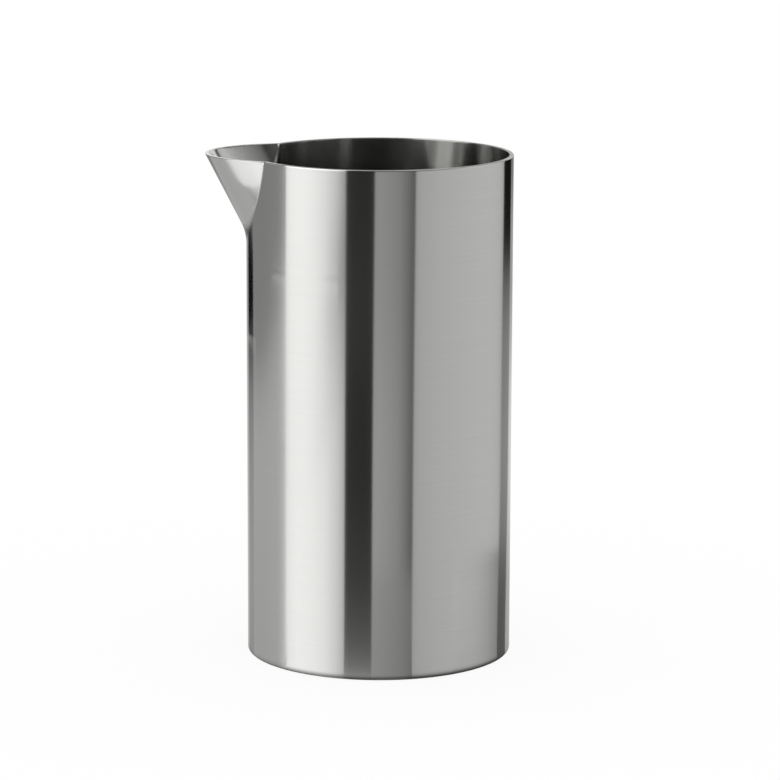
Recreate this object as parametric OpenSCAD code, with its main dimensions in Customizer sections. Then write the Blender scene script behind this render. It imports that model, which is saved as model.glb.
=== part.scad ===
// Cream jug of satin stainless steel: a round tube with a let-in bottom plate and an open spout.
// The spout is a slice of a smaller tube that leans outwards and is welded over a notch in the rim.
// The jug stands on the XY plane around Z, its spout points along -X, and lengths are millimetres.

/* [Body] */
// Outer diameter of the body tube
body_d = 50; // [40:1:70]
// Height of the body from the table to the rim
body_h = 95; // [60:1:140]
// Thickness of the body's sheet
body_wall = 0.8; // [0.5:0.1:1.5]
// Radius of the rounded edge around the foot
foot_r = 0.6; // [0.2:0.1:1]

/* [Base] */
// Thickness of the bottom plate
base_t = 1; // [0.6:0.1:2]
// Width of the flat ring that the jug stands on
base_ring = 4; // [2:0.5:8]
// Height that the middle of the bottom plate is pressed up
base_dish = 0.6; // [0.2:0.1:1.5]
// Width of the slope between the ring and the pressed middle
base_slope = 1.5; // [0.5:0.1:4]
// Gap around the edge of the bottom plate, which its weld bridges
base_gap = 0.05; // [0.02:0.01:0.15]

/* [Spout] */
// Outer diameter of the tube that the spout is cut from
spout_d = 29; // [24:1:36]
// Thickness of the spout's sheet
spout_wall = 0.8; // [0.5:0.1:1.2]
// Distance that the tip stands out from the body's side
spout_reach = 7.8; // [5:0.1:10]
// Depth below the rim at which the front of the spout meets the body
spout_drop = 15; // [11:0.5:20]

/* [Welds] */
// Width of the spout's weld on each side of the joint, at the rim
side_leg = 0.6; // [0.4:0.1:1]
// Width of the spout's weld on each side of the joint, at the foot of the spout
keel_leg = 2; // [1:0.1:3]
// Width of the weld around the bottom plate
base_leg = 0.6; // [0.3:0.1:1]
// Gap under the spout's weld, so that its short flat steps clear the round walls
seat_gap = 0.02; // [0.02:0.01:0.05]

/* [Hidden] */
$fn = 96;
// Overrun of a cut past the face that it opens
overrun = 1;
// Steps along each half of the spout's weld, and across its hollow face
weld_steps = 28;
face_steps = 4;
// Small turn over which the weld's direction is taken
nudge = 0.1;
steel = "#b8b6b1";
weld_steel = "#aaa8a3";
body_r = body_d / 2;
inner_r = body_r - body_wall;
foot_edge = min(foot_r, body_wall);
spout_r = spout_d / 2;
tilt = atan(spout_reach / spout_drop);
tip_x = -(body_r + spout_reach);
bar_l = 3 * (spout_drop + spout_d);
rim_phi = rim_angle(0, 90, 24);

// Where a point of the leaning tube lies: x inwards from the front line, y sideways, s along the tube
function leaning(x, y, s) =
    [tip_x + x * cos(tilt) - s * sin(tilt), y, body_h + x * sin(tilt) + s * cos(tilt)];

// The joint line where the leaning tube meets the body, phi round the leaning tube from its front
function joint(phi) =
    let (x = spout_r * (1 - cos(phi)), y = spout_r * sin(phi))
    leaning(x, y, (tip_x + x * cos(tilt) + sqrt(body_r * body_r - y * y)) / sin(tilt));

// The phi at which the joint line comes up to the rim, found by halving
function rim_angle(low, high, tries) =
    let (middle = (low + high) / 2)
    tries == 0 ? middle
    : joint(middle).z < body_h ? rim_angle(middle, high, tries - 1)
    : rim_angle(low, middle, tries - 1);

function unit(v) = v / norm(v);
function along(v, other) = v * sign(v * other);
function body_out(p) = unit([p.x, p.y, 0]);
function spout_out(phi) = [-cos(phi) * cos(tilt), sin(phi), -cos(phi) * sin(tilt)];

// A point lifted onto the body's side, or onto the leaning tube, with the weld's gap
function on_body(p) =
    let (out = body_out(p) * (body_r + seat_gap))
    [out.x, out.y, p.z];
function on_spout(p) =
    let (
        v = p - [tip_x, 0, body_h],
        x = v.x * cos(tilt) + v.z * sin(tilt) - spout_r,
        s = v.z * cos(tilt) - v.x * sin(tilt),
        grow = (spout_r + seat_gap) / norm([x, v.y])
    )
    leaning(spout_r + grow * x, grow * v.y, s);

// The weld's leg is widest at the foot of the spout and narrows towards the rim
function leg(phi) =
    side_leg + (keel_leg - side_leg) * pow(max(0, cos(90 * phi / rim_phi)), 3);

// One section of the weld: its corner in the joint, then its hollow face from the body to the spout
function weld_section(phi) =
    let (
        p = joint(phi),
        way = unit(joint(phi + nudge) - joint(phi - nudge)),
        body_n = body_out(p),
        spout_n = spout_out(phi),
        corner = p + seat_gap * (body_n + spout_n) / (1 + body_n * spout_n),
        low = on_body(p + leg(phi) * along(cross(way, body_n), spout_n)),
        high = on_spout(p + leg(phi) * along(cross(way, spout_n), body_n))
    )
    [corner, for (i = [0 : face_steps]) let (u = i / face_steps)
        (1 - u) * (1 - u) * low + 2 * u * (1 - u) * corner + u * u * high];

// A round bar on the leaning tube's axis, kept to the spout's side of the jug and cut off above the rim
module leaning_bar(r, above) {
    depth = spout_drop + keel_leg + overrun;
    intersection() {
        translate([tip_x, 0, body_h])
            rotate([0, -tilt, 0])
                translate([spout_r, 0, 0])
                    cylinder(r = r, h = bar_l, center = true);
        translate([tip_x - overrun, -spout_d, body_h - depth])
            cube([-tip_x + overrun, 2 * spout_d, depth + above]);
    }
}

// Rolled and seam-welded tube with a notch under the spout and a rounded foot
module body_tube() {
    color(steel)
        difference() {
            rotate_extrude() {
                translate([inner_r, foot_edge])
                    square([body_wall, body_h - foot_edge]);
                translate([inner_r, 0])
                    square([body_wall - foot_edge, body_h]);
                intersection() {
                    translate([body_r - foot_edge, foot_edge])
                        circle(foot_edge);
                    translate([inner_r, 0])
                        square([body_wall, 2 * foot_edge]);
                }
            }
            leaning_bar(spout_r - spout_wall, overrun);
        }
}

// Pressed bottom plate: a flat ring to stand on and a middle that is raised off the table
module base_disc() {
    ring_in = inner_r - base_ring;
    middle = ring_in - base_slope;
    rim = inner_r - base_gap;
    color(steel)
        rotate_extrude()
            polygon([
                [0, base_dish],
                [middle, base_dish],
                [ring_in, 0],
                [rim, 0],
                [rim, base_t],
                [ring_in, base_t],
                [middle, base_dish + base_t],
                [0, base_dish + base_t]
            ]);
}

// Slice of the leaning tube that stands out from the body, cut flush with the rim
module spout() {
    color(steel)
        difference() {
            leaning_bar(spout_r, 0);
            leaning_bar(spout_r - spout_wall, overrun);
            translate([0, 0, body_h - 2 * spout_drop])
                cylinder(r = body_r, h = 2 * spout_drop + overrun);
        }
}

// Blended weld along the joint of spout and body, ground flush with the rim
module spout_weld() {
    reach_phi = rim_phi + 2 * side_leg / spout_r * 180 / PI;
    count = 2 * weld_steps + 1;
    size = face_steps + 2;
    points = [for (i = [0 : count - 1]) each weld_section(reach_phi * (i / weld_steps - 1))];
    sides = [for (i = [0 : count - 2], j = [0 : size - 1])
        let (a = i * size + j, b = i * size + (j + 1) % size)
        each [[a, b, b + size], [a, b + size, a + size]]];
    ends = [for (j = [1 : size - 2], first = [0, 1])
        let (k = first * (count - 1) * size)
        first == 0 ? [k, k + j + 1, k + j] : [k, k + j, k + j + 1]];
    color(weld_steel)
        difference() {
            polyhedron(points = points, faces = concat(sides, ends));
            translate([tip_x, -spout_d, body_h])
                cube([-tip_x, 2 * spout_d, spout_drop]);
        }
}

// Flat-faced fillet that joins the bottom plate to the tube all the way round, inside
module base_weld() {
    color(weld_steel)
        rotate_extrude()
            polygon([
                [inner_r - base_leg, base_t],
                [inner_r, base_t],
                [inner_r, base_t + base_leg]
            ]);
}

body_tube();
base_disc();
spout();
spout_weld();
base_weld();
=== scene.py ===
from math import atan2, cos, pi, radians, sin, sqrt

import bmesh
import bpy
from mathutils import Matrix, Vector


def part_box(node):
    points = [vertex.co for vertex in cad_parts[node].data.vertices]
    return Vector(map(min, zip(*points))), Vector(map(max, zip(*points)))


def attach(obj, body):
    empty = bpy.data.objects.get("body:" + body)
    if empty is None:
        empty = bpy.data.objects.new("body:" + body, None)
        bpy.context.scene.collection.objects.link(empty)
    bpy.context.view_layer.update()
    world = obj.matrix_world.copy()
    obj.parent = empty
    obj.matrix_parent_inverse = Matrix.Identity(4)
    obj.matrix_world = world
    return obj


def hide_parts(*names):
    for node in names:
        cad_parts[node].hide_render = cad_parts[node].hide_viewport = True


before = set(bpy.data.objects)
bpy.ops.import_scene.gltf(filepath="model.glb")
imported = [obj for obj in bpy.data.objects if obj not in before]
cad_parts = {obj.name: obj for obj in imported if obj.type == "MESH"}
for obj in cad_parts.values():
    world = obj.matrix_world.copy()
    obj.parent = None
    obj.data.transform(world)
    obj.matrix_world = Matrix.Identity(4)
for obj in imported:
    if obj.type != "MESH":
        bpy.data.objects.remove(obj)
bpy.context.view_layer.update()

# Sizes are in metres. The outer ones come from the frame, the sheet and the spout's radius from the photo's
# proportions. The small rounds are what a maker leaves.
MM = 0.001
ORIGIN = Vector((0, 0, 0))
UP = Vector((0, 0, 1))
DOWN = -UP

BODY_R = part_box("body_tube")[1].x
RIM_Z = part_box("body_tube")[1].z
TIP_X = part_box("spout")[0].x
KEEL_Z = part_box("spout")[0].z
SHEET = 0.8 * MM
INNER_R = BODY_R - SHEET
SPOUT_R = 14.7 * MM
SPOUT_INNER_R = SPOUT_R - SHEET
LEAN = atan2(-TIP_X - BODY_R, RIM_Z - KEEL_Z)
ALONG_SPOUT = Vector((sin(LEAN), 0, -cos(LEAN)))

RIM_ROUND = 0.18 * MM         # the rim's outer edge is broken by hand
RIM_INNER_ROUND = 0.08 * MM   # its inner edge is only deburred
NOTCH_ROUND = 0.9 * MM        # the edge where the spout opens into the body
NOTCH_GAP = 0.25 * MM         # the notch is cut this much wider than the spout's inside
NOTCH_FADE = 0.1              # the rim's round runs out over this share of half the notch
FOOT_ROUND = 0.6 * MM
ROOT_DEPTH = 0.3 * MM         # the spout's foot ends this deep inside the body's wall
SHORT_ROUND = 0.3             # where the spout's wall is short, the rim's round takes this share of it
HEEL_DEPTH = 0.1 * MM         # the weld's hidden heel lies this deep behind the joint
PLATE = 1.0 * MM              # the bottom plate's sheet
HOLD = 0.25 * MM              # a row this close to a round keeps the wall's own shading flat
SUNK = 0.02 * MM              # hidden edges lie this far inside the metal
MERGE = 0.001 * MM            # points closer than this become one

HALVINGS = 40
CORNER_STEPS = 5
ROUND_COLUMNS = 192
NOTCH_COLUMNS = 72
SPOUT_COLUMNS = 96
SPOUT_ROWS = 8
WELD_COLUMNS = 120
RING_COLUMNS = 160
WALL_LEVELS = [1.0, 12.0, 24.0, 36.0, 48.0, 60.0, 70.0, 76.0, 82.0, 88.0]   # in mm
STRAIGHT_BELOW = 70 * MM      # the wall's rows are level up to here and follow the notch above
LEVEL_SHARE = 0.05            # level faces move the brush map on by this share of their width


def lean_point(radius, phi, height):
    """The point of the leaning tube of that radius, phi round from the keel, at that height."""
    across = SPOUT_R - radius * cos(phi)
    along = (height - RIM_Z - across * sin(LEAN)) / cos(LEAN)
    return Vector((TIP_X + across * cos(LEAN) - along * sin(LEAN), radius * sin(phi), height))


def lean_meets(radius, phi, wall_r):
    """The point where that line of the leaning tube meets an upright round wall."""
    across = SPOUT_R - radius * cos(phi)
    wall_x = -sqrt(wall_r ** 2 - (radius * sin(phi)) ** 2)
    along = (TIP_X + across * cos(LEAN) - wall_x) / sin(LEAN)
    return Vector((wall_x, radius * sin(phi), RIM_Z + across * sin(LEAN) + along * cos(LEAN)))


def rim_angle(radius, wall_r):
    """How far round from the keel the leaning tube meets the wall at the height of the rim."""
    low, high = 0.0, pi / 2
    for _ in range(HALVINGS):
        middle = (low + high) / 2
        if lean_meets(radius, middle, wall_r).z < RIM_Z:
            low = middle
        else:
            high = middle
    return low


def rounded(before, corner, after, steps=CORNER_STEPS):
    """The points of a rounded corner."""
    points = []
    for step in range(steps + 1):
        t = step / steps
        points.append(before.lerp(corner, t).lerp(corner.lerp(after, t), t))
    return points


def over_the_rim(outer, inner, outer_down, inner_down, outer_round, inner_round):
    """The points over a sheet's top edge, from its outer side to its inner side."""
    over = (inner - outer).normalized()
    return [
        outer + outer_down * (outer_round + HOLD),
        *rounded(outer + outer_down * outer_round, outer, outer + over * outer_round),
        *rounded(inner - over * inner_round, inner, inner + inner_down * inner_round),
        inner + inner_down * (inner_round + HOLD),
    ]


def turned(point, angle):
    return Matrix.Rotation(angle, 3, "Z") @ point


def cut_section(bm, points, closed=True):
    """A chain of vertices and edges, numbered by row."""
    row = bm.verts.layers.int.get("row") or bm.verts.layers.int.new("row")
    chain = [bm.verts.new(point) for point in points]
    for number, vert in enumerate(chain):
        vert[row] = number
    first = 0 if closed else 1
    return [bm.edges.new((chain[number - 1], chain[number])) for number in range(first, len(chain))]


def extruded_through(bm, edges, sections):
    """Extrudes a chain of edges from section to section. The sections have the chain's rows."""
    row = bm.verts.layers.int.get("row")
    column = bm.verts.layers.int.get("column") or bm.verts.layers.int.new("column")
    for number, points in enumerate(sections, 1):
        made = bmesh.ops.extrude_edge_only(bm, edges=edges)["geom"]
        fresh = {part for part in made if isinstance(part, bmesh.types.BMVert)}
        for vert in fresh:
            vert.co = points[vert[row]]
            vert[column] = number
        edges = [part for part in made
                 if isinstance(part, bmesh.types.BMEdge) and set(part.verts) <= fresh]


def around(point):
    """The angle round the jug's axis, 0 at the spout."""
    return atan2(point.y, point.x) % (2 * pi) - pi


def lay_brush_lines(bm, section, upright_rows=0):
    """A UV map in mm whose U runs along the brushing: round the jug, or up it on the first upright rows."""
    row = bm.verts.layers.int.get("row")
    climb = [0.0]
    for before, after in zip(section, section[1:]):
        climb.append(climb[-1] + (after - before).length)
    brush = bm.loops.layers.uv.new("brush")
    for face in bm.faces:
        middle = around(face.calc_center_median())
        for loop in face.loops:
            angle = around(loop.vert.co)
            if angle - middle > pi:
                angle -= 2 * pi
            elif middle - angle > pi:
                angle += 2 * pi
            round_jug = angle * BODY_R / MM
            up_jug = (loop.vert.co.z + LEVEL_SHARE * climb[loop.vert[row]]) / MM
            upright = all(vert[row] < upright_rows for vert in face.verts)
            loop[brush].uv = (up_jug, round_jug) if upright else (round_jug, up_jug)


def finished_piece(name, bm, section, node, steel, upright_rows=0):
    """Closes the mesh, faces it outwards and lets it ride on the jug in place of its CAD node."""
    bmesh.ops.remove_doubles(bm, verts=bm.verts, dist=MERGE)
    bmesh.ops.recalc_face_normals(bm, faces=bm.faces)
    lay_brush_lines(bm, section, upright_rows)
    mesh = bpy.data.meshes.new(name)
    bm.to_mesh(mesh)
    bm.free()
    mesh.materials.append(steel)
    mesh.polygons.foreach_set("use_smooth", [True] * len(mesh.polygons))
    piece = bpy.data.objects.new(name, mesh)
    bpy.context.scene.collection.objects.link(piece)
    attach(piece, "root")
    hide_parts(node)
    return piece


def tube_section():
    """The tube's wall cut through, from the inner foot edge outwards, up, over the rim and down inside."""
    top_z = RIM_Z - SUNK / 2
    heel = Vector((BODY_R, 0, 0))
    foot = [
        Vector((INNER_R, 0, 0)),
        *rounded(Vector((BODY_R - FOOT_ROUND, 0, 0)), heel, Vector((BODY_R, 0, FOOT_ROUND))),
    ]
    outside = [Vector((BODY_R, 0, level * MM)) for level in WALL_LEVELS]
    rim = over_the_rim(Vector((BODY_R, 0, top_z)), Vector((INNER_R, 0, top_z)),
                       DOWN, DOWN, RIM_ROUND, RIM_INNER_ROUND)
    inside = [Vector((INNER_R, 0, level * MM)) for level in reversed(WALL_LEVELS)]
    return foot, outside, rim, inside


def notch_section(share):
    """The tube's wall where it is cut for the spout. Share runs from -1 to 1 across the notch."""
    cut_r = SPOUT_INNER_R + NOTCH_GAP
    outer = lean_meets(cut_r, share * rim_angle(cut_r, BODY_R), BODY_R)
    inner = lean_meets(cut_r, share * rim_angle(cut_r, INNER_R), INNER_R)
    outer_round = max(SUNK, RIM_ROUND * (abs(share) - 1 + NOTCH_FADE) / NOTCH_FADE)
    foot, outside, rim, inside = tube_section()
    notched = over_the_rim(outer, inner, DOWN, DOWN, outer_round, RIM_INNER_ROUND)

    def lowered(point, edge):
        height = point.z
        if height > STRAIGHT_BELOW:
            squeeze = (edge.z - STRAIGHT_BELOW) / (RIM_Z - STRAIGHT_BELOW)
            height = STRAIGHT_BELOW + (height - STRAIGHT_BELOW) * squeeze
        level = turned(Vector((point.x, 0, 0)), atan2(edge.y, edge.x))
        return Vector((level.x, level.y, height))

    return [
        lowered(foot[0], inner),
        *[lowered(point, outer) for point in foot[1:] + outside],
        *notched,
        *[lowered(point, inner) for point in inside],
    ]


def rolled_body(steel):
    """The rolled tube, spun from its section and carried on through the notch under the spout."""
    section = [point for part in tube_section() for point in part]
    half = rim_angle(SPOUT_INNER_R, INNER_R)
    corner = lean_meets(SPOUT_INNER_R, half, INNER_R)
    half_turn = atan2(corner.y, -corner.x)
    bm = bmesh.new()
    edges = cut_section(bm, notch_section(-1))
    shares = [2 * step / NOTCH_COLUMNS - 1 for step in range(1, NOTCH_COLUMNS + 1)]
    extruded_through(bm, edges, [notch_section(share) for share in shares])
    step = (2 * pi - 2 * half_turn) / ROUND_COLUMNS
    start = pi - half_turn - step
    plain = cut_section(bm, [turned(point, start) for point in section])
    ring = list({vert for edge in plain for vert in edge.verts})
    bmesh.ops.spin(bm, geom=ring + plain, cent=ORIGIN, axis=UP,
                   angle=-(ROUND_COLUMNS - 2) * step, steps=ROUND_COLUMNS - 2, use_duplicate=False)
    open_edges = [edge for edge in bm.edges if edge.is_boundary]
    back_side = [edge for edge in open_edges if sum(vert.co.y for vert in edge.verts) > 0]
    front_side = [edge for edge in open_edges if sum(vert.co.y for vert in edge.verts) < 0]
    for side in (back_side, front_side):
        bmesh.ops.bridge_loops(bm, edges=side)
    return finished_piece("rolled_body", bm, section, "body_tube", steel)


def spout_section(share):
    """The spout's sheet cut through: up outside, over the rim and down inside to the body's wall."""
    outer_phi = share * rim_angle(SPOUT_R, BODY_R - ROOT_DEPTH)
    inner_phi = share * rim_angle(SPOUT_INNER_R, INNER_R)
    root = lean_meets(SPOUT_R, outer_phi, BODY_R - ROOT_DEPTH)
    outer = lean_point(SPOUT_R, outer_phi, RIM_Z)
    inner = lean_point(SPOUT_INNER_R, inner_phi, RIM_Z)
    edge = lean_meets(SPOUT_INNER_R, inner_phi, INNER_R)
    room = min(1, (inner - edge).length / (RIM_INNER_ROUND + NOTCH_ROUND + 4 * HOLD))
    outer_round = min(RIM_ROUND, SHORT_ROUND * (outer - root).length)
    rim = over_the_rim(outer, inner, ALONG_SPOUT, ALONG_SPOUT, outer_round, RIM_INNER_ROUND * room)
    if outer_round < RIM_ROUND:
        rim[0] = outer.lerp(root, 2 * SHORT_ROUND)
    rim[-1] = inner + ALONG_SPOUT * (RIM_INNER_ROUND + HOLD) * room
    outside = [root.lerp(rim[0], step / SPOUT_ROWS) for step in range(SPOUT_ROWS)]
    lip = rounded(edge - ALONG_SPOUT * NOTCH_ROUND * room, edge, edge + DOWN * NOTCH_ROUND * room)
    hold = edge - ALONG_SPOUT * (NOTCH_ROUND + HOLD) * room
    inside = [rim[-1].lerp(hold, step / SPOUT_ROWS) for step in range(1, SPOUT_ROWS + 1)]
    outwards = Vector((edge.x, edge.y, 0)).normalized()
    tail = [edge + DOWN * (NOTCH_ROUND + HOLD) * room + outwards * SUNK]
    return [*outside, *rim, *inside, *lip, *tail]


def leaning_spout(steel):
    """The spout: its section at one end of the rim extruded round to the other."""
    last = 0.997    # at 1 the sheet would have no height left
    shares = [last * (2 * step / SPOUT_COLUMNS - 1) for step in range(SPOUT_COLUMNS + 1)]
    sections = [spout_section(share) for share in shares]
    bm = bmesh.new()
    edges = cut_section(bm, sections[0])
    extruded_through(bm, edges, sections[1:])
    bmesh.ops.holes_fill(bm, edges=[edge for edge in bm.edges if edge.is_boundary])
    outside_rows = SPOUT_ROWS + CORNER_STEPS
    keel = sections[SPOUT_COLUMNS // 2]
    return finished_piece("leaning_spout", bm, keel, "spout", steel, outside_rows)


def weld_leg(phi, last_phi):
    """The weld's reach up both walls: broad at the keel, where the grinder dwells, narrow at the rim."""
    side_leg, keel_leg = 0.25 * MM, 2.2 * MM
    taper = 5
    return side_leg + (keel_leg - side_leg) * max(0.0, cos(pi / 2 * phi / last_phi)) ** taper


def weld_section(phi, last_phi):
    """The weld cut through: a hollow curve from the body's wall to the spout's, with its edges sunk."""
    corner = lean_meets(SPOUT_R, phi, BODY_R)
    if corner.z > RIM_Z - SUNK:
        corner.z = RIM_Z - SUNK
    body_out = Vector((corner.x, corner.y, 0)).normalized()
    spout_out = Vector((-cos(phi) * cos(LEAN), sin(phi), -cos(phi) * sin(LEAN)))
    run = body_out.cross(spout_out).normalized()
    on_body = body_out.cross(run)
    on_spout = spout_out.cross(run)
    if on_body.dot(spout_out) < 0:
        on_body = -on_body
    if on_spout.dot(body_out) < 0:
        on_spout = -on_spout
    leg = weld_leg(phi, last_phi)

    def at_body(reach, depth):
        point = corner + on_body * reach
        level = Vector((point.x, point.y, 0)).normalized() * (BODY_R - depth)
        return Vector((level.x, level.y, min(point.z, RIM_Z - SUNK)))

    def at_spout(reach, depth):
        point = corner + on_spout * reach - spout_out * depth
        return Vector((point.x, point.y, min(point.z, RIM_Z - SUNK)))

    bead = rounded(at_body(leg, SUNK / 3), corner, at_spout(leg, SUNK / 3), steps=12)
    heel = corner - (body_out + spout_out) * HEEL_DEPTH
    return [heel, at_body(leg + HOLD, SUNK), *bead, at_spout(leg + HOLD, SUNK)]


def ground_weld(steel):
    """The blended weld along the spout's joint, extruded from the rim round the keel to the rim."""
    last_phi = rim_angle(SPOUT_R, BODY_R)
    stations = [last_phi * (2 * step / WELD_COLUMNS - 1) for step in range(WELD_COLUMNS + 1)]
    sections = [weld_section(phi, last_phi) for phi in stations]
    bm = bmesh.new()
    edges = cut_section(bm, sections[0])
    extruded_through(bm, edges, sections[1:])
    bmesh.ops.holes_fill(bm, edges=[edge for edge in bm.edges if edge.is_boundary])
    keel = sections[WELD_COLUMNS // 2]
    return finished_piece("ground_weld", bm, keel, "spout_weld", steel)


def spun_ring(bm, section, closed=True):
    """A section spun right round the jug's axis."""
    edges = cut_section(bm, section, closed)
    bmesh.ops.spin(bm, geom=bm.verts[:] + edges, cent=ORIGIN, axis=UP,
                   angle=2 * pi, steps=RING_COLUMNS, use_merge=True)


def pressed_bottom(steel):
    """The bottom plate: a flat ring to stand on and a middle that is pressed up."""
    plate_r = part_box("base_disc")[1].x
    rise = 0.6 * MM
    ring_width = 4.0 * MM
    slope_width = 1.5 * MM
    flat_row = 4.0 * MM
    hub_r = 0.5 * MM
    bend = 0.5 * MM
    ring_r = plate_r - ring_width
    dish_r = ring_r - slope_width

    def side(height):
        low = Vector((ring_r, 0, height))
        high = Vector((dish_r, 0, height + rise))
        up = (high - low).normalized()
        return [
            Vector((plate_r - HOLD, 0, height)),
            *rounded(low + Vector((bend, 0, 0)), low, low + up * bend),
            *rounded(high - up * bend, high, high - Vector((bend, 0, 0))),
            Vector((dish_r - flat_row, 0, height + rise)),
            Vector((dish_r / 2, 0, height + rise)),
            Vector((hub_r, 0, height + rise)),
            Vector((0, 0, height + rise)),
        ]

    edge = [Vector((plate_r, 0, PLATE - HOLD)), Vector((plate_r, 0, HOLD))]
    section = [*reversed(side(PLATE)), *edge, *side(0)]
    bm = bmesh.new()
    spun_ring(bm, section, closed=False)
    return finished_piece("pressed_bottom", bm, section, "base_disc", steel)


def bottom_weld(steel):
    """The fillet that joins the bottom plate to the tube."""
    leg = 0.6 * MM
    corner = Vector((INNER_R, 0, PLATE))
    bead = rounded(corner - Vector((leg, 0, 0)), corner, corner + UP * leg, steps=8)
    section = [corner + Vector((SUNK, 0, -SUNK)), *bead]
    bm = bmesh.new()
    spun_ring(bm, section)
    return finished_piece("bottom_weld", bm, section, "base_weld", steel)


def linear(hex_colour):
    """An sRGB hex colour as linear RGBA."""
    parts = [int(hex_colour[start:start + 2], 16) / 255 for start in (1, 3, 5)]
    return (*[part / 12.92 if part <= 0.04045 else ((part + 0.055) / 1.055) ** 2.4 for part in parts], 1)


def node(tree, kind, values=None, links=None, **settings):
    """Adds a node with its settings, its socket values and its links."""
    made = tree.nodes.new(kind)
    for name, value in settings.items():
        setattr(made, name, value)
    for socket, value in (values or {}).items():
        made.inputs[socket].default_value = value
    for socket, source in (links or {}).items():
        tree.links.new(source, made.inputs[socket])
    return made


CLOUD_SIZE = 14 * MM          # wear varies over patches of this size
LINE_SHARE = 0.65             # brush lines make this share of the roughness's variation, and wear the rest
CLOUD_SHARE = 0.35
QUARTER_TURN = 0.25


def brushed_steel(name, light, dark, roughness, smear, grain, run, lift, follows_brush=False, inside=0.0):
    """Stainless steel with brush lines: light is sharp along them and smeared across them.
    Inside is how much rougher the steel is inside the jug."""
    material = bpy.data.materials.new(name)
    material.use_nodes = True
    tree = material.node_tree
    tree.nodes.clear()
    place = node(tree, "ShaderNodeTexCoord")
    if follows_brush:
        laid = node(tree, "ShaderNodeUVMap", uv_map="brush")
        stretched = node(tree, "ShaderNodeMapping", {"Scale": (MM / run, MM / grain, 1)},
                         {"Vector": laid.outputs["UV"]})
    else:
        stretched = node(tree, "ShaderNodeMapping", {"Scale": (1 / run, 1 / run, 1 / grain)},
                         {"Vector": place.outputs["Object"]})
    lines = node(tree, "ShaderNodeTexNoise", {"Scale": 1.0, "Detail": 3.0, "Roughness": 0.6},
                 {"Vector": stretched.outputs["Vector"]})
    clouds = node(tree, "ShaderNodeTexNoise", {"Scale": 1 / CLOUD_SIZE, "Detail": 2.0},
                  {"Vector": place.outputs["Object"]})
    tint = node(tree, "ShaderNodeMix", links={0: lines.outputs[0]}, data_type="RGBA")
    tint.inputs[6].default_value = linear(dark)
    tint.inputs[7].default_value = linear(light)
    worn = node(tree, "ShaderNodeMath", {1: CLOUD_SHARE}, {0: clouds.outputs[0]}, operation="MULTIPLY")
    mixed = node(tree, "ShaderNodeMath", {1: LINE_SHARE}, {0: lines.outputs[0], 2: worn.outputs[0]},
                 operation="MULTIPLY_ADD")
    rough = node(tree, "ShaderNodeMapRange", {"To Min": roughness[0], "To Max": roughness[1]},
                 {"Value": mixed.outputs[0]})
    level = node(tree, "ShaderNodeVectorMath", {1: (1, 1, 0)}, {0: place.outputs["Object"]},
                 operation="MULTIPLY")
    from_axis = node(tree, "ShaderNodeVectorMath", links={0: level.outputs[0]}, operation="LENGTH")
    within = node(tree, "ShaderNodeMath", {1: BODY_R - SHEET / 2}, {0: from_axis.outputs["Value"]},
                  operation="LESS_THAN")
    duller = node(tree, "ShaderNodeMath", {1: inside}, {0: within.outputs[0], 2: rough.outputs[0]},
                  operation="MULTIPLY_ADD")
    bump = node(tree, "ShaderNodeBump", {"Strength": 1.0, "Distance": lift}, {"Height": lines.outputs[0]})
    grain_way = node(tree, "ShaderNodeTangent", direction_type="UV_MAP", uv_map="brush")
    steel = node(tree, "ShaderNodeBsdfPrincipled",
                 {"Metallic": 1.0, "Anisotropic": smear, "Anisotropic Rotation": QUARTER_TURN},
                 {"Base Color": tint.outputs[2], "Roughness": duller.outputs[0], "Normal": bump.outputs[0],
                  "Tangent": grain_way.outputs[0]})
    node(tree, "ShaderNodeOutputMaterial", links={"Surface": steel.outputs[0]})
    return material


# 18/8 stainless steel, satin brushed round the jug: neutral grey, upright streaks of light with crisp sides,
# and faint level lines. Real lines are about 0.05 mm apart, drawn at 0.35 mm so that they show.
# The inside keeps the sheet's own duller finish, so its streaks of light are softer.
body_steel = brushed_steel("stainless_steel_satin_brushed", "#CBCBC9", "#C6C6C4",
                           roughness=(0.105, 0.125), smear=0.65, grain=0.35 * MM, run=25 * MM,
                           lift=0.0004 * MM, inside=0.025)
# The spout of the same steel. Outside it is brushed up its length, so that light smears round it,
# and inside round it.
spout_steel = brushed_steel("stainless_steel_satin_brushed_spout", "#CBCBC9", "#C5C5C3",
                            roughness=(0.13, 0.15), smear=0.9, grain=0.35 * MM, run=18 * MM,
                            lift=0.0006 * MM, follows_brush=True)
# The same steel ground flush after welding: a touch darker and softer, so that the joint shows
# no sharp line of light.
weld_steel = brushed_steel("stainless_steel_ground_weld", "#C8C8C6", "#C0C0BE",
                           roughness=(0.28, 0.33), smear=0.3, grain=0.3 * MM, run=6 * MM,
                           lift=0.0008 * MM, follows_brush=True)
# The bottom plate as it left the press and the polishing wheel: softer lines in circles.
base_steel = brushed_steel("stainless_steel_pressed_satin", "#CAC9C7", "#C3C3C1",
                           roughness=(0.2, 0.25), smear=0.65, grain=0.5 * MM, run=20 * MM,
                           lift=0.0008 * MM)

rolled_body(body_steel)
pressed_bottom(base_steel)
leaning_spout(spout_steel)
ground_weld(weld_steel)
bottom_weld(weld_steel)


# The photograph's camera: a long lens a little above the rim, with the spout's tip turned slightly away.
VIEW_AZIMUTH = 3.0
VIEW_HEIGHT = 11.11
VIEW_DISTANCE = 676.7 * MM
VIEW_ROLL = 0.2
AIM_RIGHT = 2.03 * MM
AIM_UP = 2.44 * MM
LENS_LENGTH = 165.0           # with its sensor in mm, as the camera takes them
SENSOR_WIDTH = 36.0
CLIP_END = 50.0

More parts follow.
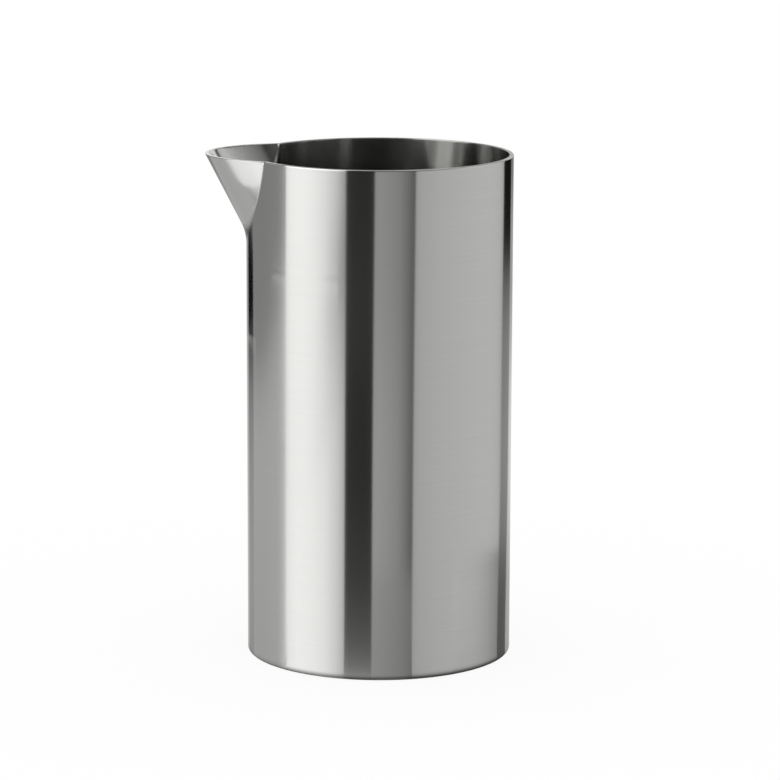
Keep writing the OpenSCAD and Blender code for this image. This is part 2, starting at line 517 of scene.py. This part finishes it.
azimuth, height = radians(VIEW_AZIMUTH), radians(VIEW_HEIGHT)
back = Vector((sin(azimuth) * cos(height), -cos(azimuth) * cos(height), sin(height)))
right = Vector((cos(azimuth), sin(azimuth), 0))
over = back.cross(right)
middle = Vector((0, 0, RIM_Z / 2))
lens = bpy.data.cameras.new("photo_camera")
lens.sensor_width = SENSOR_WIDTH
lens.lens = LENS_LENGTH
lens.clip_end = CLIP_END
camera = bpy.data.objects.new("photo_camera", lens)
bpy.context.scene.collection.objects.link(camera)
camera.location = middle + back * VIEW_DISTANCE
aim = middle + right * AIM_RIGHT + over * AIM_UP - camera.location
camera.rotation_mode = "QUATERNION"
camera.rotation_quaternion = (aim.to_track_quat("-Z", "Y").to_matrix()
                              @ Matrix.Rotation(radians(VIEW_ROLL), 3, "Z")).to_quaternion()
bpy.context.scene.camera = camera


def staged(name, bm, material, glossy_only=False):
    """A piece of the studio, which isn't part of the jug."""
    mesh = bpy.data.meshes.new(name)
    bm.to_mesh(mesh)
    bm.free()
    mesh.materials.append(material)
    thing = bpy.data.objects.new(name, mesh)
    bpy.context.scene.collection.objects.link(thing)
    if glossy_only:
        thing.visible_camera = False
        thing.visible_diffuse = False
        thing.visible_transmission = False
        thing.visible_volume_scatter = False
        thing.visible_shadow = False
    return thing


def studio_material(name):
    material = bpy.data.materials.new(name)
    material.use_nodes = True
    material.node_tree.nodes.clear()
    return material, material.node_tree


def pale_floor():
    """Matt white paper under the jug. Most of what a camera or a mirror sees of it is its own light,
    which keeps the shadow faint."""
    own_light = 0.88
    half_side = 8.0
    material, tree = studio_material("matt_white_paper")
    paper = node(tree, "ShaderNodeBsdfDiffuse", {"Color": linear("#FEFEFE")})
    white = node(tree, "ShaderNodeEmission", {"Color": (1, 1, 1, 1), "Strength": 1.0})
    path = node(tree, "ShaderNodeLightPath")
    mirrored = node(tree, "ShaderNodeMath",
                    links={0: path.outputs["Is Glossy Ray"], 1: path.outputs["Is Transmission Ray"]},
                    operation="MAXIMUM")
    seen = node(tree, "ShaderNodeMath", links={0: path.outputs["Is Camera Ray"], 1: mirrored.outputs[0]},
                operation="MAXIMUM")
    share = node(tree, "ShaderNodeMath", {1: own_light}, {0: seen.outputs[0]}, operation="MULTIPLY")
    mixed = node(tree, "ShaderNodeMixShader",
                 links={0: share.outputs[0], 1: paper.outputs[0], 2: white.outputs[0]})
    node(tree, "ShaderNodeOutputMaterial", links={"Surface": mixed.outputs[0]})
    bm = bmesh.new()
    bmesh.ops.create_grid(bm, x_segments=1, y_segments=1, size=half_side)
    return staged("pale_floor", bm, material)


# The studio's cards: painted reflections, which glow but light nothing, for only the steel sees them. Angles
# are in degrees from the camera's side of the jug, counted to the right.
CARD_DISTANCE = 3.0
CARD_TOP = 1.4                # the upright cards end at this height and the upper ones start there
CEILING = 4.5
CARD_LIFT = 0.1 * MM          # cards on the table lie in layers this far apart
CARD_COLUMN = 2               # a card's columns are this many degrees wide
REACH_STEPS = 48              # a card's rows lie closer together near the jug
TABLE_EDGE = 170 * MM
EDGE_FACES = -87.7

FLAG_START, FLAG_END = -158.5, -141.8             # the black card at the left
LIGHT_START = -88.9                               # the left light's far side
BLACK_START, BLACK_END = -28.7, -2.0              # the black card in front
RIGHT_START = -5.2                                # the upright card at the right
GREY_START, GREY_END = -4, 31                     # the grey card in front
UPPER_RIGHT_START = 120
RIGHT_FLAG_START, RIGHT_FLAG_END = 134.5, 155.5   # the black card at the right
BACK_START, BACK_END = 165, 195
EDGE_END = 178                                    # where the table's cards end behind the jug


def toward(angle):
    """The level direction at that many degrees from the camera's side of the jug, counted to the right."""
    turn = radians(VIEW_AZIMUTH + angle)
    return Vector((sin(turn), -cos(turn), 0))


def upright(angle, reach):
    """A point of an upright card, at that height."""
    return toward(angle) * CARD_DISTANCE + UP * reach


def upper(angle, reach):
    """A point of an upright card that starts above the others."""
    return upright(angle, CARD_TOP + reach)


def overhead(angle, reach):
    """A point of the glowing card overhead, a painted reflection of a pale ceiling."""
    return toward(angle) * reach + UP * CEILING


def on_table(angle, reach, layer=1):
    """A point of a card on the table, on the line that the body's wall mirrors to the camera."""
    return toward(angle / 2) * BODY_R + toward(angle) * reach + UP * layer * CARD_LIFT


def past_table(angle, reach):
    """The same, but counted from the table's left edge."""
    edge = toward(EDGE_FACES)
    to_edge = (TABLE_EDGE - edge.dot(toward(angle / 2)) * BODY_R) / edge.dot(toward(angle))
    return on_table(angle, to_edge + reach)


def front_black(angle, reach):
    """A point of the black card in front, whose left side swings to the left towards the jug."""
    swing, straight_from = 1.3, 0.65
    share = (angle - BLACK_END) / (BLACK_START - BLACK_END)
    return on_table(angle - swing * share * max(0, 1 - reach / straight_from), reach, layer=1.5)


def swung(angle, reach, layer=2):
    """A point of a card on the table whose sides swing a little to the left towards the jug."""
    swing, straight_from = 2.2, 0.7
    return on_table(angle - swing * max(0, 1 - reach / straight_from), reach, layer)


def swung_above(angle, reach):
    """A point just above that card."""
    return swung(angle, reach, layer=3)


def right_corner(angle, reach):
    """A point above both, on a card that swings further where it paints the table darker close to the jug, as
    painted shade.
    """
    swing, straight_from = 5.0, 0.15
    return swung(angle - swing * max(0, 1 - reach / straight_from), reach, layer=4)


def left_spread(angle, reach):
    """A point of a card on the table that grows wider and longer towards the left light."""
    widening, wide_from, widest, lengthening = 1.4, 0.5, 1.5, 0.7
    share = ((angle - FLAG_END) / (LIGHT_START - FLAG_END)) ** 3
    wider = widening * share * min(widest, reach / wide_from)
    return on_table(angle + wider, reach * (1 + lengthening * share), layer=2)


def left_flag(angle, reach):
    """A point of the black card at the left, which ends in a point far out."""
    narrowing, point_from, point_length = 13, 0.545, 0.05
    share = (angle - FLAG_START) / (FLAG_END - FLAG_START)
    narrower = narrowing * share * min(1, max(0, (reach - point_from) / point_length)) ** 2
    return on_table(angle - narrower, reach)


def sloping(angle, reach, start, fall):
    """A point of a sloping card, which the body sees edge on and the spout from above."""
    return on_table(angle, reach) + UP * (start - fall * reach)


def reflector(angle, share):
    """A point of the small glowing reflector card, a painted reflection that brightens the spout. Its corners
    are cut, in mm to a degree.
    """
    left_cut, right_cut, far_cut = 0.8, 0.3, 1.1
    near = 41.3 + left_cut * max(0, -99 - angle) + right_cut * max(0, angle + 83)
    far = 70 + far_cut * max(0, angle + 79)
    return sloping(angle, (near + (far - near) * share) * MM, start=75 * MM, fall=0.169)


def left_screen(angle, reach):
    """A point of the grey screen that the spout's lower side mirrors."""
    return sloping(angle, reach, start=45 * MM, fall=0.222)


def tip_screen(angle, reach):
    """A point of the grey screen that the spout's tip mirrors."""
    return sloping(angle, reach, start=62 * MM, fall=0.1853)


def table_gloss():
    """The table's polish: what the steel sees in the table is the studio mirrored at half strength."""
    material, tree = studio_material("polished_acrylic_table")
    polish = node(tree, "ShaderNodeBsdfGlossy", {"Color": (0.5, 0.5, 0.5, 1), "Roughness": 0.03})
    node(tree, "ShaderNodeOutputMaterial", links={"Surface": polish.outputs[0]})
    bm = bmesh.new()
    bmesh.ops.create_circle(bm, cap_ends=True, segments=64, radius=CARD_DISTANCE)
    bmesh.ops.translate(bm, verts=bm.verts, vec=(0, 0, CARD_LIFT / 2))
    return staged("table_gloss", bm, material, glossy_only=True)


def ramp(tree, stops, position):
    """A colour ramp of grey levels, given as pairs of place and level."""
    first, last = stops[0][0], stops[-1][0]
    fade = node(tree, "ShaderNodeValToRGB", links={0: position})
    for number, (place, level) in enumerate(stops):
        share = (place - first) / (last - first)
        if number < 2:
            stop = fade.color_ramp.elements[number]
            stop.position = share
        else:
            stop = fade.color_ramp.elements.new(share)
        stop.color = (level, level, level, 1)
    return fade.outputs[0]


def along_card(reach, reaches):
    """Where that reach lies on a card, as a share of its rows."""
    nearest, farthest = reaches[0][0], reaches[-1][0]
    return sqrt((reach - nearest) / (farthest - nearest))


def painted_reflection_card(name, place, angles, reaches, shade=None):
    """A glowing card that only the steel sees, so a painted reflection rather than a lamp. Its brightness
    goes by angle round the jug and by reach along it.
    A shade is a painted soft shadow on it: its angle, its reach, how far it spreads both ways, and its depth."""
    first, last = angles[0][0], angles[-1][0]
    nearest, farthest = reaches[0][0], reaches[-1][0]
    material, tree = studio_material(name)
    laid = node(tree, "ShaderNodeUVMap", uv_map="card")
    split = node(tree, "ShaderNodeSeparateXYZ", links={0: laid.outputs[0]})
    peak = max(level for _, level in angles)
    across = ramp(tree, [(angle, level / peak) for angle, level in angles], split.outputs[0])
    along = ramp(tree, [(along_card(reach, reaches), level) for reach, level in reaches], split.outputs[1])
    both = node(tree, "ShaderNodeMix", {0: 1.0}, {6: across, 7: along},
                data_type="RGBA", blend_type="MULTIPLY")
    colour = both.outputs[2]
    if shade:
        angle, reach, half_angle, half_reach, depth = shade
        centre_x = (angle - first) / half_angle
        centre_y = along_card(reach, reaches) / half_reach
        spot = node(tree, "ShaderNodeMapping",
                    {"Location": (-centre_x, -centre_y, 0),
                     "Scale": ((last - first) / half_angle, 1 / half_reach, 1)},
                    {"Vector": laid.outputs[0]})
        fade = node(tree, "ShaderNodeTexGradient", links={0: spot.outputs[0]}, gradient_type="SPHERICAL")
        level = node(tree, "ShaderNodeMapRange", {"To Min": 1.0, "To Max": 1 - depth},
                     {"Value": fade.outputs[1]}, interpolation_type="SMOOTHSTEP")
        shaded = node(tree, "ShaderNodeMix", {0: 1.0}, {6: colour, 7: level.outputs[0]},
                      data_type="RGBA", blend_type="MULTIPLY")
        colour = shaded.outputs[2]
    glow = node(tree, "ShaderNodeEmission", {"Strength": peak}, {"Color": colour})
    node(tree, "ShaderNodeOutputMaterial", links={"Surface": glow.outputs[0]})

    steps = max(2, round((last - first) / CARD_COLUMN))
    turns = [first + (last - first) * step / steps for step in range(steps + 1)]
    shares = [(step / REACH_STEPS) ** 2 for step in range(REACH_STEPS + 1)]
    sections = [[place(turn, nearest + (farthest - nearest) * share) for share in shares] for turn in turns]
    bm = bmesh.new()
    edges = cut_section(bm, sections[0], closed=False)
    extruded_through(bm, edges, sections[1:])
    row = bm.verts.layers.int.get("row")
    column = bm.verts.layers.int.get("column")
    card = bm.loops.layers.uv.new("card")
    for face in bm.faces:
        for loop in face.loops:
            loop[card].uv = (loop.vert[column] / steps, loop.vert[row] / REACH_STEPS)
    return staged(name, bm, material, glossy_only=True)


def even(farthest):
    """The same level all along a card."""
    return [(0.0, 1.0), (farthest, 1.0)]


pale_floor()
table_gloss()

# Painted reflections of the light at the left, upright and on the table past its edge, with a painted soft
# shadow on the part on the table, and of the table's own light at the jug's foot, painted dark right at the
# foot as shadow.
painted_reflection_card("left_softbox", upright,
            [(LIGHT_START, 2.4), (-84, 2.75), (-76, 2.92), (-68, 2.88), (-60, 2.8), (-48, 2.56),
             (-37, 2.0), (-32, 1.6), (BLACK_START, 1.2)],
            even(CARD_TOP))
painted_reflection_card("left_lightbox", past_table,
            [(LIGHT_START, 1.15), (-84, 1.37), (-77, 1.43), (-68, 1.42), (-60, 1.36), (-48, 1.16),
             (-37, 0.89), (-32, 0.67), (BLACK_START, 0.5)],
            even(CARD_DISTANCE), shade=(-31, 0.205, 26, 0.09, 0.48))
painted_reflection_card("left_light_painted_foot_shadow", on_table,
            [(-92, 0.95), (LIGHT_START, 1.06), (-84, 1.28), (-77, 1.35), (-68, 1.34), (-60, 1.28),
             (-48, 1.15), (-37, 0.88), (BLACK_START, 0.55)],
            [(0.0, 0.25), (0.001, 0.45), (0.002, 0.75), (0.0035, 1.0)])

# What the spout mirrors: painted reflections on glowing cards.
painted_reflection_card("left_reflector", reflector,
            [(-107.5, 0.6), (-104, 1.0), (-100, 1.22), (-95, 1.26), (-82, 1.31), (-72, 1.36),
             (-62, 1.43), (-52, 1.47), (-36, 1.47)],
            even(1.0))
painted_reflection_card("left_screen", left_screen,
            [(-137, 0.58), (-125, 0.6), (-110, 0.62), (-97, 0.64), (-89.5, 0.62)],
            [(0.09, 1.04), (0.185, 0.93)])
painted_reflection_card("tip_screen", tip_screen, [(-168, 0.53), (-157, 0.54), (-150, 0.56), (-135, 0.58)],
            [(0.08, 1.0), (0.2, 1.0)])

# Painted reflections of the table at the left, with a black card on it, painted darker at the jug's foot as
# shadow.
painted_reflection_card("left_table", left_spread,
            [(FLAG_END, 0.54), (-122, 0.57), (-109, 0.6), (-100, 0.62), (-95, 0.7), (-91, 0.86),
             (LIGHT_START, 1.0)],
            [(0.0, 0.6), (0.001, 0.75), (0.003, 0.93), (0.06, 0.96), (0.15, 1.0), (0.208, 0.99),
             (0.25, 0.92), (0.28, 0.82), (0.32, 0.63), (0.344, 0.57), (0.42, 0.55), (CARD_DISTANCE, 0.52)])
painted_reflection_card("left_flag_table", left_flag, [(FLAG_START, 0.41), (-145, 0.43), (FLAG_END, 0.48)],
            [(0.0, 0.5), (0.003, 0.9), (0.06, 1.0), (0.153, 0.93), (0.208, 0.8), (0.26, 0.66),
             (0.31, 0.36), (0.344, 0.13), (0.38, 0.0), (0.56, 0.0), (0.585, 0.3), (0.6, 0.6),
             (0.63, 0.75), (CARD_DISTANCE, 0.75)])
painted_reflection_card("left_edge_table", on_table, [(-EDGE_END, 0.8), (-168, 0.7), (-162, 0.57), (FLAG_START, 0.5)],
            [(0.0, 0.5), (0.005, 0.85), (0.1, 1.0), (0.25, 0.9), (0.4, 0.65), (CARD_DISTANCE, 0.6)])

# Painted reflections of the table in front: black, then grey, painted darker at the jug's foot as shadow.
painted_reflection_card("front_black_table", front_black, [(BLACK_START, 0.46), (-24, 0.38), (BLACK_END, 0.35)],
            [(0.0, 0.25), (0.001, 0.6), (0.002, 0.9), (0.0035, 0.95), (0.0054, 0.85), (0.0085, 0.7),
             (0.013, 0.62), (0.0185, 0.52), (0.026, 0.42), (0.045, 0.3), (0.061, 0.24), (0.076, 0.19),
             (0.17, 0.11), (0.27, 0.1), (0.34, 0.14), (0.43, 0.16), (0.51, 0.13), (0.575, 0.1),
             (CARD_DISTANCE, 0.1)])
painted_reflection_card("front_grey_table", swung,
            [(GREY_START, 0.52), (1, 0.5), (10, 0.455), (18, 0.395), (25, 0.275), (28.5, 0.2),
             (GREY_END, 0.15)],
            [(0.0, 0.9), (0.06, 0.92), (0.104, 0.97), (0.208, 1.0), (0.271, 0.98), (0.344, 0.94),
             (0.43, 0.88), (CARD_DISTANCE, 0.86)])
painted_reflection_card("front_grey_painted_foot_shadow", swung_above,
            [(GREY_START, 0.45), (1, 0.43), (10, 0.395), (18, 0.36), (25, 0.315), (29, 0.28),
             (GREY_END, 0.25)],
            [(0.0, 0.15), (0.0007, 0.45), (0.0015, 0.8), (0.003, 0.95), (0.02, 0.95), (0.08, 1.0)])

# Painted reflections of the table at the right, with a black card on it, painted darker close to the jug and
# at its foot as shade.
painted_reflection_card("right_table", swung,
            [(GREY_END, 0.56), (36, 0.61), (54, 0.67), (75, 0.7), (98, 0.73), (113, 0.73), (122, 0.7),
             (128, 0.66), (131, 0.6), (RIGHT_FLAG_START, 0.5)],
            [(0.0, 0.1), (0.001, 0.38), (0.002, 0.72), (0.004, 0.95), (0.06, 0.97), (0.17, 1.0),
             (CARD_DISTANCE, 1.0)])
painted_reflection_card("right_painted_foot_shade", swung_above,
            [(70, 0.7), (90, 0.67), (98, 0.64), (106, 0.59), (113, 0.54), (120, 0.47), (127, 0.4),
             (RIGHT_FLAG_START, 0.33)],
            [(0.0, 0.1), (0.001, 0.35), (0.002, 0.7), (0.004, 0.92), (0.06, 1.0), (0.09, 1.0)])
painted_reflection_card("right_flag_table", right_corner, [(RIGHT_FLAG_START, 0.35), (RIGHT_FLAG_END, 0.35)],
            [(0.0, 0.3), (0.004, 0.38), (0.02, 0.4), (0.043, 0.42), (0.061, 0.47), (0.082, 0.6),
             (0.104, 0.8), (0.153, 0.95), (0.208, 1.0), (0.271, 0.92), (0.344, 0.85), (0.43, 0.6),
             (0.468, 0.35), (0.5, 0.15), (0.53, 0.02), (CARD_DISTANCE, 0.0)])
painted_reflection_card("right_edge_table", right_corner, [(RIGHT_FLAG_END, 0.8), (EDGE_END, 0.8)],
            [(0.0, 0.5), (0.005, 0.6), (0.06, 0.65), (0.1, 0.8), (0.15, 0.95), (0.208, 0.98),
             (0.271, 0.9), (0.344, 0.7), (0.43, 0.55), (0.575, 0.5), (0.705, 0.3), (CARD_DISTANCE, 0.25)])

# The upright cards in front, at the right and behind, and the ceiling: painted reflections that brighten the
# inside of the jug.
painted_reflection_card("front_black_card", upright, [(BLACK_START, 0.03), (RIGHT_START, 0.03)], even(CARD_TOP))
painted_reflection_card("right_card", upright,
            [(RIGHT_START, 0.05), (20, 0.12), (29, 0.1), (38, 0.05), (45, 0.2), (61, 0.42), (70, 0.62),
             (79, 0.9), (90, 1.1), (99, 1.1), (112, 0.92), (128, 0.74), (133, 0.6), (136, 0.12),
             (141, 0.12), (145, 0.8), (150, 0.95), (BACK_START, 0.95)],
            even(CARD_TOP))
painted_reflection_card("upper_card", upper,
            [(BLACK_START, 0.4), (0, 0.7), (30, 0.9), (50, 1.5), (100, 1.5), (112, 1.2),
             (UPPER_RIGHT_START, 0.8)],
            [(0.0, 0.0), (0.5, 0.0), (0.75, 0.7), (0.9, 1.0), (1.4, 1.0), (1.6, 0.3), (1.8, 0.1), (3.1, 0.1)])
painted_reflection_card("upper_right_card", upper,
            [(UPPER_RIGHT_START, 0.75), (128, 0.75), (138, 0.6), (BACK_START, 0.4)],
            [(0.0, 0.0), (0.35, 0.0), (0.55, 0.8), (0.65, 1.0), (0.85, 1.0), (1.0, 0.3), (1.15, 0.05),
             (3.1, 0.05)])
painted_reflection_card("back_card", upright,
            [(BACK_START, 0.6), (178.6, 0.55), (179.3, 0.45), (179.8, 0.25), (180.5, 0.18), (181, 0.22),
             (181.9, 0.6), (182.9, 1.0), (BACK_END, 0.9)],
            [(0.0, 1.0), (0.9, 1.0), (1.2, 0.5), (1.6, 0.15), (2.9, 0.15), (3.5, 0.5), (CEILING, 0.6)])
painted_reflection_card("left_back_card", upright, [(BACK_END - 360, 0.6), (LIGHT_START, 0.6)],
            [(0.0, 1.0), (0.9, 1.0), (1.2, 0.5), (1.6, 0.2), (2.9, 0.2), (3.5, 0.5), (CEILING, 0.6)])
painted_reflection_card("overhead_card", overhead, [(0, 1.0), (360, 1.0)],
            [(0.0, 1.0), (2.3, 1.0), (CARD_DISTANCE, 0.6)])

world = bpy.data.worlds.new("white_studio")
world.use_nodes = True
bpy.context.scene.world = world
world.node_tree.nodes["Background"].inputs["Color"].default_value = (1, 1, 1, 1)
world.node_tree.nodes["Background"].inputs["Strength"].default_value = 1.0
bpy.context.scene.view_settings.view_transform = "Standard"
